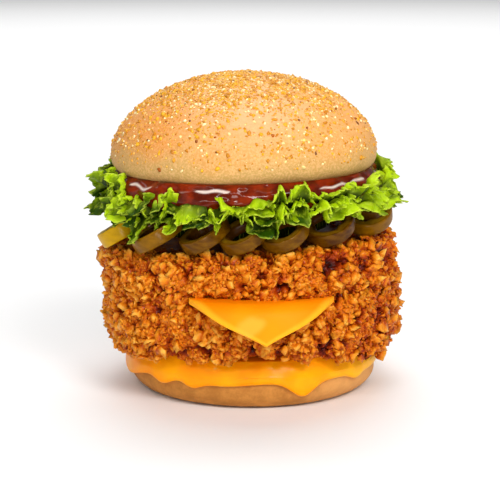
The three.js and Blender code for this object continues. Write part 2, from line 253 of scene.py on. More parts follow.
# A material whose Principled shader takes plain values and patterns, and lets light in a little.
class Finish(Graph):
    def __init__(self, name, shaderValues, letsIn=0.0, reach=(0.0, 0.0, 0.0)):
        self.material = bpy.data.materials.new(name)
        self.material.use_nodes = True
        super().__init__(self.material.node_tree)
        self.shader = self.tree.nodes["Principled BSDF"]
        self.place = self.add("ShaderNodeTexCoord", None, None, "Object")
        self.feed(self.shader, shaderValues)
        if letsIn:
            under = {"Weight": letsIn, "Radius": reach, "Scale": 1.0}
            self.feed(self.shader, {f"Subsurface {part}": value for part, value in under.items()})

    def mark(self, name):
        return self.add("ShaderNodeAttribute", {"attribute_name": name}, None, "Fac")

    def stretched(self, scale):
        settings = {"operation": "MULTIPLY"}
        return self.add("ShaderNodeVectorMath", settings, {0: self.place, 1: scale})

    def noise(self, size, detail=2.0, roughness=0.5, place=None):
        inputs = {"Vector": place or self.place, "Scale": 1 / size, "Detail": detail, "Roughness": roughness}
        return self.add("ShaderNodeTexNoise", None, inputs)

    def along(self, axis):
        return self.add("ShaderNodeSeparateXYZ", None, {0: self.place}, axis)

    def ramp(self, value, stops):
        return self.add("ShaderNodeValToRGB", {"stops": stops}, {"Fac": value})

    def mix(self, share, first, second):
        inputs = {0: share}
        for index, colour in ((6, first), (7, second)):
            inputs[index] = colour if isinstance(colour, Wire) else (*colour, 1.0)
        return self.add("ShaderNodeMix", {"data_type": "RGBA"}, inputs, 2)

    # Lays a colour over another where a value goes from low to high, up to a share of most.
    def over(self, under, colour, value, low, high, most=None):
        share = self.between(value, low, high)
        return self.mix(share if most is None else share * most, under, colour)

    # Ends the material: what varies over the surface, and the height, depth and strength of its bumps.
    def dressed(self, looks, height, distance, strength):
        inputs = {"Height": height, "Distance": distance, "Strength": strength}
        self.feed(self.shader, {**looks, "Normal": self.add("ShaderNodeBump", None, inputs)})
        return self.material


# What all grains share
grains = {
    # least and most share of the size on each side, and how rare large grains are
    "sides": (0.7, 1.3), "rarity": 1.8,
    # scale and strength of the noise that makes their rims ragged, and of the one that bends them
    "ragged": (1100.0, 4.0), "bent": (430.0, 3.0),
    # how much of their lift comes from the base and how much from their own height
    "lift": (0.62, 0.6),
}


# Geometry Nodes that scatter ragged grains over a base, closer where its mark is high.
def scatterTree():
    tree = bpy.data.node_groups.new("scatterGrains", "GeometryNodeTree")
    kinds = {"Base": "Geometry", "Sides": "Int", "Rings": "Int", "Seed": "Int", "Finish": "Material"}
    names = ["Base", "Cover", "Smallest", "Largest", "Flatness", "Tilt", "Ragged", "Sunk", "Sides", "Rings",
             "Seed", "Finish"]
    for name in names:
        kind = "NodeSocket" + kinds.get(name, "Float")
        tree.interface.new_socket(name, in_out="INPUT", socket_type=kind)
    tree.interface.new_socket("Grains", in_out="OUTPUT", socket_type="NodeSocketGeometry")
    graph = Graph(tree)
    entry = tree.nodes.new("NodeGroupInput")
    given = {name: Wire(graph, entry.outputs[name]) for name in names}

    def stored(geometry, name, kind, value):
        settings = {"data_type": kind, "domain": "POINT"}
        inputs = {"Geometry": geometry, "Name": name, "Value": value}
        return graph.add("GeometryNodeStoreNamedAttribute", settings, inputs)

    def named(name, kind):
        return graph.add("GeometryNodeInputNamedAttribute", {"data_type": kind}, {"Name": name})

    def drawn(low, high, shift):
        kind, output = ("FLOAT_VECTOR", 0) if isinstance(low, tuple) else ("FLOAT", 1)
        slots = (0, 1) if isinstance(low, tuple) else (2, 3)
        inputs = {slots[0]: low, slots[1]: high, "Seed": given["Seed"] + shift}
        return graph.add("FunctionNodeRandomValue", {"data_type": kind}, inputs, output)

    def vectors(operation, first, second=None, output=0, **more):
        inputs = {0: first} if second is None else {0: first, 1: second}
        return graph.add("ShaderNodeVectorMath", {"operation": operation}, {**inputs, **more}, output)

    # Points on the base, each keeping its tone, its outward direction and its place
    spread = graph.add(
        "GeometryNodeDistributePointsOnFaces",
        {"distribute_method": "RANDOM"},
        {"Mesh": given["Base"], "Density": given["Cover"] * named("cover", "FLOAT"), "Seed": given["Seed"]},
    )
    facing = Wire(graph, spread.socket.node.outputs["Normal"])
    upright = Wire(graph, spread.socket.node.outputs["Rotation"])
    position = graph.add("GeometryNodeInputPosition")
    points = stored(spread, "tone", "FLOAT", drawn(0.0, 1.0, 0))
    points = stored(points, "facing", "FLOAT_VECTOR", facing)
    points = stored(points, "centre", "FLOAT_VECTOR", position)

    # Each grain's size, evenness and turn
    least, most = ((share,) * 3 for share in grains["sides"])
    spare = given["Largest"] - given["Smallest"]
    size = given["Smallest"] + drawn(0.0, 1.0, 1) ** grains["rarity"] * spare
    flat = graph.add("ShaderNodeCombineXYZ", None, {"X": 1.0, "Y": 1.0, "Z": given["Flatness"]})
    shape = vectors("MULTIPLY", drawn(least, most, 2), flat)
    scale = vectors("SCALE", shape, Scale=size)
    widest = graph.add("ShaderNodeCombineXYZ", None, {"X": given["Tilt"], "Y": given["Tilt"], "Z": math.pi})
    angles = vectors("MULTIPLY", drawn((-1.0, -1.0, -1.0), (1.0, 1.0, 1.0), 3), widest)
    turned = graph.add(
        "FunctionNodeRotateRotation",
        {"rotation_space": "LOCAL"},
        {0: upright, 1: graph.add("FunctionNodeEulerToRotation", None, {0: angles})},
    )
    ball = graph.add("GeometryNodeMeshUVSphere", None, {"Segments": given["Sides"], "Rings": given["Rings"]})
    rimShare = vectors("LENGTH", vectors("MULTIPLY", position, (1.0, 1.0, 0.0)), None, "Value")
    grain = stored(ball, "edge", "FLOAT", rimShare)
    inputs = {"Points": points, "Instance": grain, "Rotation": turned, "Scale": scale}
    placed = graph.add("GeometryNodeInstanceOnPoints", None, inputs)
    real = graph.add("GeometryNodeRealizeInstances", None, {0: placed})

    # Ragged rims and bent flats
    away = vectors("SUBTRACT", position, named("centre", "FLOAT_VECTOR"))
    (raggedScale, raggedBy), (bentScale, bentBy) = grains["ragged"], grains["bent"]
    ragged = graph.add("ShaderNodeTexNoise", None, {"Vector": position, "Scale": raggedScale, "Detail": 1.0})
    reach = (ragged - 0.5) * given["Ragged"] * raggedBy * named("edge", "FLOAT")
    stretch = vectors("SCALE", away, Scale=reach)
    inputs = {"Vector": position, "Scale": bentScale, "Detail": 0.5}
    wave = graph.add("ShaderNodeTexNoise", None, inputs, "Color")
    bend = vectors("SUBTRACT", wave, (0.5, 0.5, 0.5))
    bend = vectors("SCALE", bend, Scale=vectors("LENGTH", away, None, "Value"))
    bent = vectors("SCALE", bend, Scale=given["Ragged"] * bentBy)
    outward = named("facing", "FLOAT_VECTOR")
    sunk = vectors("SCALE", outward, Scale=given["Sunk"] * -1)
    offset = vectors("ADD", vectors("ADD", stretch, bent), sunk)
    shaped = graph.add("GeometryNodeSetPosition", None, {"Geometry": real, "Offset": offset})
    height = vectors("DOT_PRODUCT", away, outward, "Value")
    fromBase, fromHeight = grains["lift"]
    lift = named("lift", "FLOAT") * fromBase + height / given["Largest"] * fromHeight
    marked = stored(shaped, "lift", "FLOAT", lift)
    softened = graph.add("GeometryNodeSetShadeSmooth", None, {0: marked})
    coated = graph.add("GeometryNodeSetMaterial", None, {"Geometry": softened, "Material": given["Finish"]})
    graph.add("NodeGroupOutput", None, {"Grains": coated})
    return tree


# Scatters grains over a base object and returns them as one plain mesh piece.
def scattered(name, base, tree, values):
    modifier = base.modifiers.new("scatter", "NODES")
    modifier.node_group = tree
    for socket in tree.interface.items_tree:
        if socket.item_type == "SOCKET" and socket.in_out == "INPUT" and socket.name in values:
            modifier[socket.identifier] = values[socket.name]
    base.update_tag()
    bpy.context.view_layer.update()
    evaluated = base.evaluated_get(bpy.context.evaluated_depsgraph_get())
    mesh = bpy.data.meshes.new_from_object(evaluated)
    mesh.name = name
    base.modifiers.remove(modifier)
    piece = bpy.data.objects.new(name, mesh)
    bpy.context.scene.collection.objects.link(piece)
    print(f"{name}: {sum(len(p.vertices) - 2 for p in mesh.polygons)} triangles")
    return piece


# Camera at the photograph's angle
view = {"elevation": 11.0, "distance": 0.650, "aimHeight": 0.05162, "lens": 119.34}


def placeCamera():
    camera = bpy.data.objects.new("camera", bpy.data.cameras.new("camera"))
    camera.data.lens = view["lens"]
    climb = math.radians(view["elevation"])
    away = Vector((0, -math.cos(climb), math.sin(climb))) * view["distance"]
    camera.location = Vector((0, 0, view["aimHeight"])) + away
    camera.rotation_euler = (-away).to_track_quat("-Z", "Y").to_euler()
    bpy.context.scene.collection.objects.link(camera)
    bpy.context.scene.camera = camera


placeCamera()
print("camera placed")


# Heel
heel = {
    "middle": 0.001, "steps": 200, "rings": 41,
    # radius and height from the middle of the bottom, round the side, to the middle of the top
    "side": [(0, 0), (0.030, 0), (0.040, 0), (0.0446, 0.0013), (0.0476, 0.0046), (0.0482, 0.009),
             (0.0476, 0.013), (0.0454, 0.016), (0.042, 0.017), (0.030, 0.017), (0, 0.017)],
    # unevenness of the side below its top edge
    "unevenness": 0.0003, "unevenUpTo": 0.0165,
}


def heelPoint(j, angle):
    radius, height = outlinePoint(heel["side"], j, heel["rings"])
    point = placeAt(angle, max(radius, 0), max(height, 0))
    if 0 < height < heel["unevenUpTo"]:
        point += placeAt(angle, heel["unevenness"] * noise.noise(point / 0.012), 0)
    return point + Vector((heel["middle"], 0, 0))


def heelFinish():
    finish = Finish("bakedHeel", {"Specular IOR Level": 0.15})
    mottle = finish.noise(0.006, 4, 0.6)
    crumb = finish.noise(0.0009, 3, 0.7)
    across = finish.along("X")
    dark, light, paintedLitRight = (0.40, 0.155, 0.027), (0.56, 0.235, 0.046), (0.80, 0.40, 0.13)
    baked = finish.over(dark, light, mottle * 0.7 + crumb * 0.3, 0.35, 0.65)
    # Paler towards the right side: painted light.
    colour = finish.over(baked, paintedLitRight, across + mottle * 0.01, 0.014, 0.050, 0.7)
    looks = {"Base Color": colour, "Roughness": 0.62 + crumb * 0.2}
    return finish.dressed(looks, crumb * 0.6 + finish.noise(0.0035, 2) * 0.4, 0.0004, 0.5)


heelBun = turnedPiece("heelBun", heel["rings"], heel["steps"], heelPoint)
finished(heelBun, heelFinish(), "heel", "heel")
print("heel made")


# Orange sauce, a coat on the heel whose lower edge runs down in drips
orangeSauce = {
    # gap to the heel, thickness on its side, height of the lower edge and of the top
    "gap": 0.0003, "onSide": 0.0016, "edge": 0.0104, "top": 0.019, "steps": 420, "rings": 56,
    # waves of the lower edge: height, count, start
    "waves": [(0.00035, 5, 0.0), (0.00025, 9, 0.7)],
    # angle, half width in degrees, length of the drip
    "drips": [(-74, 15, 0.0042), (-43, 6, 0.0026), (-27, 5, 0.002), (22, 7, 0.005), (52, 5, 0.0018),
              (98, 9, 0.0026), (138, 7, 0.0044), (172, 9, 0.0022), (213, 8, 0.0048), (247, 9, 0.003)],
}


def heelRadiusAt(height):
    side = [(z, r) for r, z in heel["side"][2:9]]
    for (z0, r0), (z1, r1) in zip(side, side[1:]):
        if height <= z1:
            return r0 + (r1 - r0) * (height - z0) / (z1 - z0)
    return side[-1][1]


def orangeSaucePoint(j, angle):
    run = bells(orangeSauce["drips"], angle)
    edge = orangeSauce["edge"] + waved(orangeSauce["waves"], angle) - run
    bulge = 0.12 * run + 0.0003 * noise.noise(placeAt(angle, 0.012, 0.5))
    gap, onSide, top = orangeSauce["gap"], orangeSauce["onSide"], orangeSauce["top"]
    wall = heelRadiusAt(edge) + gap
    belly = max(0.009, edge + 0.0003)
    rows = [
        (0, 0.017 + gap), (0.020, 0.017 + gap), (0.0422, 0.017 + gap), (0.0457, 0.016 + gap),
        (0.0479, 0.013), (heelRadiusAt(belly) + gap, belly), (wall, edge + 0.0002),
        (wall + 0.55 * onSide + bulge, edge - 0.0002), (wall + onSide + bulge, edge + 0.0009),
        (wall + onSide + 0.6 * bulge, edge + 0.0026),
        (0.0482 + 0.9 * onSide, 0.0136), (0.0474, top - 0.0011), (0.0436, top), (0.020, top), (0, top),
    ]
    radius, height = outlinePoint(rows, j, orangeSauce["rings"])
    return placeAt(angle, max(radius, 0), height) + Vector((heel["middle"], 0, 0))


def orangeSauceFinish():
    values = {"Roughness": 0.35, "Specular IOR Level": 0.06, "Coat Weight": 0.12, "Coat Roughness": 0.06}
    finish = Finish("orangeSauce", values, 0.15, (0.004, 0.0015, 0.0003))
    swirl = finish.noise(0.012, 2, 0.5)
    across = finish.along("X")
    body = finish.over((0.97, 0.285, 0.001), (1.0, 0.38, 0.002), swirl, 0.35, 0.7)
    # Lighter and yellower towards the right side: painted light.
    colour = finish.over(body, (1.0, 0.52, 0.014), across, 0.018, 0.050, 0.8)
    return finish.dressed({"Base Color": colour}, finish.noise(0.005, 1), 0.0003, 0.35)


orangeCoat = turnedPiece("orangeCoat", orangeSauce["rings"], orangeSauce["steps"], orangeSaucePoint)
finished(orangeCoat, orangeSauceFinish(), "orange_sauce", "orange_sauce")
print("orange sauce made")


# Crumbed fillets: a craggy base with crumbs and finer flakes scattered over it
crust = {
    "steps": 700, "sideRings": 52, "capRings": 4,
    # size of the clumps and of the lumps on them, their depth, and the share of it that lies inwards
    "clump": 0.0070, "clumpDepth": 0.0042, "clumpInwards": 0.74,
    "lump": 0.0042, "lumpDepth": 0.0038, "lumpInwards": 0.68, "lumpShift": (0.3, 0.1, 0.2),
    "grit": 0.0010, "gritDepth": 0.0006,
    # size and depth of the two warps that make the lumps uneven, and how far out a lump creases
    "warps": [(0.005, 0.0016), (0.0018, 0.0007)], "creaseAt": 0.82,
    # the outline's waves: height, count, and start in the fillet's own turns and in degrees
    "waves": [(-0.0008, 2, 0, 90), (0.0007, 3, 1, 0), (0.0005, 7, 2, 0)], "ownTurn": 37,
    # how round the side is across and upwards
    "outPower": 0.62, "upPower": 0.85,
    "topInset": 0.0024, "bottomInset": 0.0012,
    # the crust's lowest and highest, and how high it has to be to carry crumbs, as shares of that
    "liftEnds": (-0.0038, 0.0019), "crumbsFrom": (0.46, 0.78),
    # where the cheese comes out between the fillets, in degrees
    "cheeseFrom": -22, "cheeseTo": 32,
    # how far left the upper fillet starts to sag, and where it has sagged in full
    "sagEnds": (0.012, 0.056),
    # share of the outline where the flat of the top and bottom ends
    "capShare": 0.86,
    "crumbs": {"Cover": 350000.0, "Smallest": 0.0006, "Largest": 0.0022, "Flatness": 0.60, "Tilt": 1.4,
               "Ragged": 0.72, "Sunk": 0.0, "Sides": 8, "Rings": 4},
    "flakes": {"Cover": 700000.0, "Smallest": 0.0003, "Largest": 0.0009, "Flatness": 0.65, "Tilt": 1.2,
               "Ragged": 0.5, "Sunk": 0.0, "Sides": 6, "Rings": 3},
}
# closer is how far a fillet closes on the other where no cheese comes out
fillets = {
    "lower": {"radius": 0.0576, "middle": 0.0010, "inset": 0.0022, "bottom": 0.0197, "top": 0.0408,
              "sideDroop": 0.005, "topLean": 0.0, "leftSag": 0.0, "topRound": 0.0044, "bottomRound": 0.0065,
              "closer": 0.0030, "seed": 11, "node": "fillet_lower"},
    "upper": {"radius": 0.0574, "middle": 0.0004, "inset": 0.0025, "bottom": 0.0437, "top": 0.0602,
              "sideDroop": 0.0, "topLean": 2.4, "leftSag": 0.0026, "topRound": 0.0080, "bottomRound": 0.0040,
              "closer": 0.0032, "seed": 29, "node": "fillet_upper"},
}


def filletOutline(fillet, angle):
    ownTurn = fillet["seed"] * crust["ownTurn"]
    waves = sum(
        height * math.sin(math.radians(count * angle + turns * ownTurn + start))
        for height, count, turns, start in crust["waves"]
    )
    return fillet["radius"] + waves - fillet["inset"]


# How far the fillets close on each other: not at all over the cheese's corner.
def closing(fillet, angle):
    away = (angle - (crust["cheeseFrom"] + crust["cheeseTo"]) / 2 + 180) % 360 - 180
    halfWidth = (crust["cheeseTo"] - crust["cheeseFrom"]) / 2
    return fillet["closer"] * smooth(abs(away), halfWidth - 2, halfWidth + 5)


# The height of a fillet's top above its flat, right side up and left side sagging.
def topSlope(fillet, across):
    sag = fillet["leftSag"] * smooth(-across, *crust["sagEnds"])
    return math.tan(math.radians(fillet["topLean"])) * across - sag


def filletPoint(fillet, j, angle):
    capRings, sideRings = crust["capRings"], crust["sideRings"]
    outline = filletOutline(fillet, angle)
    across = math.sin(math.radians(angle))
    middle = Vector((fillet["middle"], 0, 0))
    bottom, top = fillet["bottom"], fillet["top"] - crust["topInset"]
    if fillet["topLean"] > 0:
        bottom -= closing(fillet, angle)
    else:
        bottom += crust["bottomInset"]
        top += closing(fillet, angle)
    if j < capRings:
        return placeAt(angle, outline * crust["capShare"] * j / capRings, bottom) + middle, 0.0
    if j >= capRings + sideRings:
        radius = outline * crust["capShare"] * (sideRings + 2 * capRings - 1 - j) / capRings
        return placeAt(angle, radius, top + topSlope(fillet, radius * across)) + middle, 0.0
    share = (j - capRings) / (sideRings - 1)
    turn = math.radians(-88 + 176 * share)
    out = math.cos(turn) ** crust["outPower"]
    up = math.copysign(abs(math.sin(turn)) ** crust["upPower"], turn)
    rounding = fillet["topRound"] if up > 0 else fillet["bottomRound"]
    radius = outline - rounding * (1 - out)
    lift = topSlope(fillet, radius * across) * max(up, 0)
    droop = fillet["sideDroop"] * across ** 2 * smooth(-up, 0, 1)
    height = bottom + (top - bottom) / 2 * (1 + up) + lift - droop
    return placeAt(angle, radius, height) + middle, smooth(out, 0.02, 0.3)


# The height of round-topped lumps with deep creases between them, from 0 to 1.
def cauliflower(point, size):
    near = noise.voronoi(point / size)[0][0]
    return math.sqrt(max(0.0, 1 - (near / crust["creaseAt"]) ** 2))


def crustDepth(point):
    warp, fineWarp = (noise.noise_vector(point / size) * depth for size, depth in crust["warps"])
    clump = cauliflower(point + warp + fineWarp, crust["clump"])
    lump = cauliflower(point + warp * 0.5 + fineWarp + Vector(crust["lumpShift"]), crust["lump"])
    grit = noise.noise(point / crust["grit"])
    depth = crust["clumpDepth"] * (clump - crust["clumpInwards"])
    depth += crust["lumpDepth"] * (lump - crust["lumpInwards"])
    return depth + crust["gritDepth"] * grit


def makeFilletBase(name, fillet):
    def pointAt(j, angle):
        return filletPoint(fillet, j, angle)

    rings = crust["sideRings"] + 2 * crust["capRings"]
    piece = turnedPiece(name, rings, crust["steps"], pointAt, ("cover",))
    marks = piece.data.attributes
    covers = [item.value for item in marks["cover"].data]
    index = iter(covers)

    def depthAt(point):
        share = next(index)
        return crustDepth(point) * share if share > 0 else 0.0

    roughened(piece, depthAt, "lift", *crust["liftEnds"])
    lifts = [item.value for item in marks["lift"].data]
    thinned = [cover * smooth(lift, *crust["crumbsFrom"]) for cover, lift in zip(covers, lifts)]
    marks["cover"].data.foreach_set("value", thinned)
    return piece


def crustFinish():
    values = {"Specular IOR Level": 0.08, "Coat Weight": 0.35, "Coat Roughness": 0.14, "Coat IOR": 1.3}
    finish = Finish("friedCrust", values, 0.06, (0.002, 0.0008, 0.0002))
    patch = finish.noise(0.006, 2, 0.5)
    fine = finish.noise(0.0010, 3, 0.65)
    # Low creases and the bases of grains are darker: partly oil-soaked browning, partly painted shade; the
    # paler grain rims are partly painted highlight.
    value = finish.mark("lift") * 0.74 + finish.mark("edge") * 0.12 + finish.mark("tone") * 0.05
    across = finish.along("X")
    # Darker towards the right side: painted shade.
    value = value + patch * 0.30 + fine * 0.34 - 0.31 - finish.between(across, 0.012, 0.046) * 0.12
    stops = [(0.07, (0.025, 0.0012, 0.0001)), (0.27, (0.17, 0.010, 0.0002)), (0.45, (0.42, 0.052, 0.0005)),
             (0.62, (0.66, 0.165, 0.003)), (0.80, (0.78, 0.265, 0.012)), (1.0, (0.90, 0.42, 0.055))]
    looks = {"Base Color": finish.ramp(value, stops), "Roughness": 0.30 + fine * 0.28}
    return finish.dressed(looks, fine, 0.0006, 0.8)


grainTree = scatterTree()
friedCrust = crustFinish()
for label, fillet in fillets.items():
    base = makeFilletBase(f"{label}FilletCrust", fillet)
    crumbs = []
    for kind, more in (("crumbs", 0), ("flakes", 100)):
        values = {**crust[kind], "Seed": fillet["seed"] + more, "Finish": friedCrust}
        crumbs.append(scattered(f"{label}Fillet{kind.capitalize()}", base, grainTree, values))
    finished(base, friedCrust, "crust", fillet["node"])
    for piece in crumbs:
        finished(piece, friedCrust, "crust")
print("fillets made")


# Cheese slice, flat between the fillets, its front corner over the lower one
cheese = {
    "side": 0.072, "thickness": 0.002, "cells": 90, "cornerTrim": 0.02,
    "forward": 0.0261, "turn": 5.0, "bottom": 0.04145,
    # where it bends down over the rim, how tightly, and to which angle
    "rim": 0.0573, "bend": 0.005, "hang": 66.0,
    # how much further it hangs than its flat length, on its middle line and away from it
    "middleStretch": 0.91, "sideStretch": 1.20, "outerStretch": 6.6, "stretchEnds": (0.55, 0.75),
    # the turn past which its sides are drawn in between the fillets, and by how much
    "hideEnds": (0.44, 0.56), "hidden": 0.15,
    # the spot of painted highlight, paler and glossier, sideways and ahead, and its half sizes
    "shine": (-0.0062, 0.0672, 0.0062, 0.0042),
}


def overRim(path):
    hang = math.radians(cheese["hang"])
    turn = min(path / cheese["bend"], hang)
    rest = max(0.0, path - cheese["bend"] * hang)
    out = cheese["bend"] * math.sin(turn) + rest * math.cos(turn)
    down = cheese["bend"] * (1 - math.cos(turn)) + rest * math.sin(turn)
    return out, down


def cheesePoint(u, v):
    trim = 1 - cheese["cornerTrim"] * (abs(u) * abs(v)) ** 9
    half = trim * cheese["side"] / 2
    sideways = half * (u - v) / math.sqrt(2)
    ahead = half * (u + v) / math.sqrt(2) + cheese["forward"]
    turn = math.radians(cheese["turn"])
    x = sideways * math.cos(turn) + ahead * math.sin(turn)
    y = sideways * math.sin(turn) - ahead * math.cos(turn)
    height = cheese["bottom"] + cheese["thickness"] / 2
    radius = math.hypot(x, y)
    place, ends = (sideways, ahead), cheese["stretchEnds"]
    turned = math.hypot(math.atan2(x, -y) - turn, 0.03) - 0.03
    kept = 1 - cheese["hidden"] * smooth(turned, *cheese["hideEnds"]) * smooth(radius, 0.02, 0.05)
    x, y, radius = x * kept, y * kept, radius * kept
    if radius <= cheese["rim"]:
        return Vector((x, y, height)), place
    more = cheese["sideStretch"] * turned + cheese["outerStretch"] * turned ** 2
    stretch = cheese["middleStretch"] + more * (1 - smooth(turned, *ends))
    out, down = overRim((radius - cheese["rim"]) * stretch)
    sag = 0.0005 * noise.noise(Vector((x, y, 0)) / 0.014) * smooth(radius, 0.058, 0.064)
    flat = Vector((x, y, 0)) * ((cheese["rim"] + out + sag) / radius)
    return flat + Vector((0, 0, height - down)), place


def paintedHighlightAt(sideways, ahead):
    middleSide, middleAhead, halfSide, halfAhead = cheese["shine"]
    wobble = 0.25 * noise.noise(Vector((sideways, ahead, 0)) / 0.004)
    away = math.hypot((sideways - middleSide) / halfSide, (ahead - middleAhead) / halfAhead)
    return 1 - smooth(away + wobble, 0.6, 1.15)


def cheeseFinish():
    finish = Finish("cheese", {"Specular IOR Level": 0.05}, 0.1, (0.004, 0.002, 0.0003))
    cloud = finish.noise(0.02, 1)
    fine = finish.noise(0.0015, 3, 0.6)
    shine = finish.mark("shine")
    body = finish.over((0.92, 0.235, 0.0008), (0.97, 0.295, 0.0015), cloud, 0.35, 0.7)
    rimmed = finish.mix(finish.mark("border") * 0.7, body, (1.0, 0.46, 0.02))
    # A painted highlight: the spot is paler in colour.
    colour = finish.mix(shine * 0.6, rimmed, (1.0, 0.44, 0.05))
    looks = {"Base Color": colour, "Roughness": 0.36 + fine * 0.12 - shine * 0.12}
    return finish.dressed(looks, finish.noise(0.006, 1) + fine * 0.15, 0.0003, 0.3)


def makeCheese():
    count = cheese["cells"]
    shares = [2 * k / count - 1 for k in range(count + 1)]
    made = [[cheesePoint(u, v) for u in shares] for v in shares]
    grid = [[point for point, place in row] for row in made]
    shine = [paintedHighlightAt(*place) for row in made for point, place in row]
    border = [smooth(max(abs(u), abs(v)), 0.955, 0.985) for v in shares for u in shares]
    piece = thinPiece("cheeseSlice", grid, cheese["thickness"], {"shine": shine, "border": border})
    bevel = piece.modifiers.new("softEdge", "BEVEL")
    bevel.width = 0.0005
    bevel.segments = 2
    bevel.limit_method = "ANGLE"
    bevel.angle_limit = math.radians(50)
    return piece


finished(makeCheese(), cheeseFinish(), "cheese", "cheese")
print("cheese made")


# Pickled pepper rings, each leaning on the next
peppers = {
    # lean is that on the next ring, rest is the height that a ring rests on
    "thickness": 0.0049, "lean": 21.5, "rest": 0.0599, "tipShare": 0.18,
    "stackLean": 2.4, "stackHeight": 0.0602,
    "steps": 84, "sectionSteps": 28,
    # shares of the radius: how far the wall swells in three lobes, and how far its inner stubs reach
    "lobe": 0.035, "stub": 0.10,
    # share of the radius and of the thickness, round the wall from the outer bottom corner
    "section": [(0.955, -0.5), (0.99, -0.43), (1.0, -0.2), (1.0, 0.2), (0.99, 0.43), (0.955, 0.5),
                (0.86, 0.48), (0.72, 0.44), (0.62, 0.36), (0.575, 0.15), (0.57, -0.15), (0.62, -0.36),
                (0.72, -0.44), (0.86, -0.48)],
    # how yellow and how light each ring is; the darker rings at the front and right are partly painted shade
    "ripenessAndShade": [1.0, 0.75, 0.2, 0.25, 0.25, 0.0, 0.55, 0.4, 0.2, 0.5, 0.3, 0.6, 0.4],
    # how much thicker the first rings are
    "thicker": [1.22, 1.16],
    # angle, distance from the middle, own radius, lean outwards, the angle that it faces
    "rings": [(-77, 0.0505, 0.0096, 20, -48), (-46, 0.0470, 0.0107, 18, -40),
              (-20.3, 0.0468, 0.0097, 18, -20), (-2.4, 0.0470, 0.0095, 18, -2),
              (15.4, 0.0468, 0.0094, 18, 15), (39.4, 0.0457, 0.0101, 16, 36), (70, 0.0478, 0.0096, 14, 52),
              (101, 0.0465, 0.0100, 12, 94), (130, 0.0465, 0.0094, 12, 130), (158, 0.0462, 0.0102, 12, 158),
              (187, 0.0464, 0.0097, 12, 187), (216, 0.0460, 0.0103, 12, 216), (246, 0.0466, 0.0095, 12, 246)],
}


def ringPlace(angle, distance, radius, outwardLean, facing):
    lean, tip = math.radians(peppers["lean"]), math.radians(outwardLean)
    lowest = (
        radius * (1 + peppers["lobe"]) * math.sin(lean)
        + 0.5 * peppers["thickness"] * math.cos(lean)
        + peppers["tipShare"] * radius * math.sin(tip)
    )
    tipped = Matrix.Rotation(tip, 4, placeAt(facing + 90, 1, 0))
    turned = tipped @ Matrix.Rotation(lean, 4, placeAt(facing, 1, 0))
    middle = placeAt(angle, distance, peppers["rest"] + lowest)
    middle.z -= fillets["upper"]["leftSag"] * smooth(-middle.x, *crust["sagEnds"])
    return leaning(peppers["stackLean"], peppers["stackHeight"]) @ Matrix.Translation(middle) @ turned


def makeRing(name, index, ring):
    steps, around = peppers["steps"], peppers["sectionSteps"]
    section = peppers["section"]
    closedSection = section[-1:] + section + section[:2]
    place, radius = ringPlace(*ring), ring[2]
    thickness = peppers["thickness"] * (peppers["thicker"] + [1.0] * steps)[index]
    points, inside = [], []
    for i in range(steps):
        turn = 2 * math.pi * i / steps
        lobe = 1 + peppers["lobe"] * math.cos(3 * turn)
        spot = Vector((math.cos(turn), math.sin(turn), index * 1.7))
        stub = peppers["stub"] * max(0.0, math.cos(1.5 * turn + index)) ** 14
        stub += 0.03 * noise.noise(spot * 2.3)
        for k in range(around):
            share, height = curveThrough(closedSection, 1 + len(section) * k / around)
            hollow = smooth(share, 0.9, 0.62)
            wobble = 0.006 * noise.noise(spot * 1.5 + Vector((0, 0, height)))
            reach = radius * lobe * (share + wobble - stub * hollow)
            rise = thickness * (height + 0.04 * noise.noise(spot * 3 + Vector((share, 0, 0))))
            points.append(place @ placeAt(math.degrees(turn), reach, rise))
            inside.append(smooth(share, 0.965, 0.60))
    faces = []
    for i in range(steps):
        for k in range(around):
            a, b = around * i, around * ((i + 1) % steps)
            n = (k + 1) % around
            faces.append((a + k, b + k, b + n, a + n))
    ripe = [peppers["ripenessAndShade"][index]] * len(points)
    return closedPiece(name, points, faces, {"inside": inside, "ripe": ripe})


def pepperFinish(name, skinDark, skinLight, fleshDark, fleshLight):
    values = {"Specular IOR Level": 0.06, "Coat Weight": 0.1, "Coat Roughness": 0.06}
    finish = Finish(name, values, 0.1, (0.003, 0.0025, 0.0006))
    inside, ripe = finish.mark("inside"), finish.mark("ripe")
    streak = finish.noise(0.004, 3, 0.55, finish.stretched((1.0, 1.0, 3.0)))
    fine = finish.noise(0.0012, 2)
    # ripe is also lower on the rings that stand in shade: painted shade in part.
    skin = finish.mix(finish.between(streak, 0.3, 0.7) * 0.3 + ripe * 0.7, skinDark, skinLight)
    cut = finish.mix(finish.between(fine, 0.3, 0.7) * 0.25 + ripe * 0.75, fleshDark, fleshLight)
    ledge = finish.over(skin, cut, inside, 0.02, 0.16)
    # The inner wall of the hollow is near-black: painted shade.
    hollow = finish.over(ledge, (0.07, 0.022, 0.001), inside, 0.7, 1.0)
    looks = {"Base Color": hollow, "Roughness": 0.24 + fine * 0.2}
    return finish.dressed(looks, streak * 0.6 + fine * 0.2, 0.0004, 0.4)


oliveFinish = pepperFinish("olivePepper", (0.055, 0.014, 0.0002), (0.29, 0.130, 0.001),
                           (0.12, 0.05, 0.001), (0.36, 0.20, 0.008))
yellowFinish = pepperFinish("yellowPepper", (0.32, 0.16, 0.001), (0.60, 0.34, 0.002),
                            (0.36, 0.20, 0.008), (0.60, 0.40, 0.03))
for index, ring in enumerate(peppers["rings"]):
    number = f"{index + 1:02d}"
    finish = yellowFinish if index == 0 else oliveFinish
    finished(makeRing(f"pepperRing{number}", index, ring), finish, "pepper", f"pepper_ring_{number}")
print("pepper rings made")


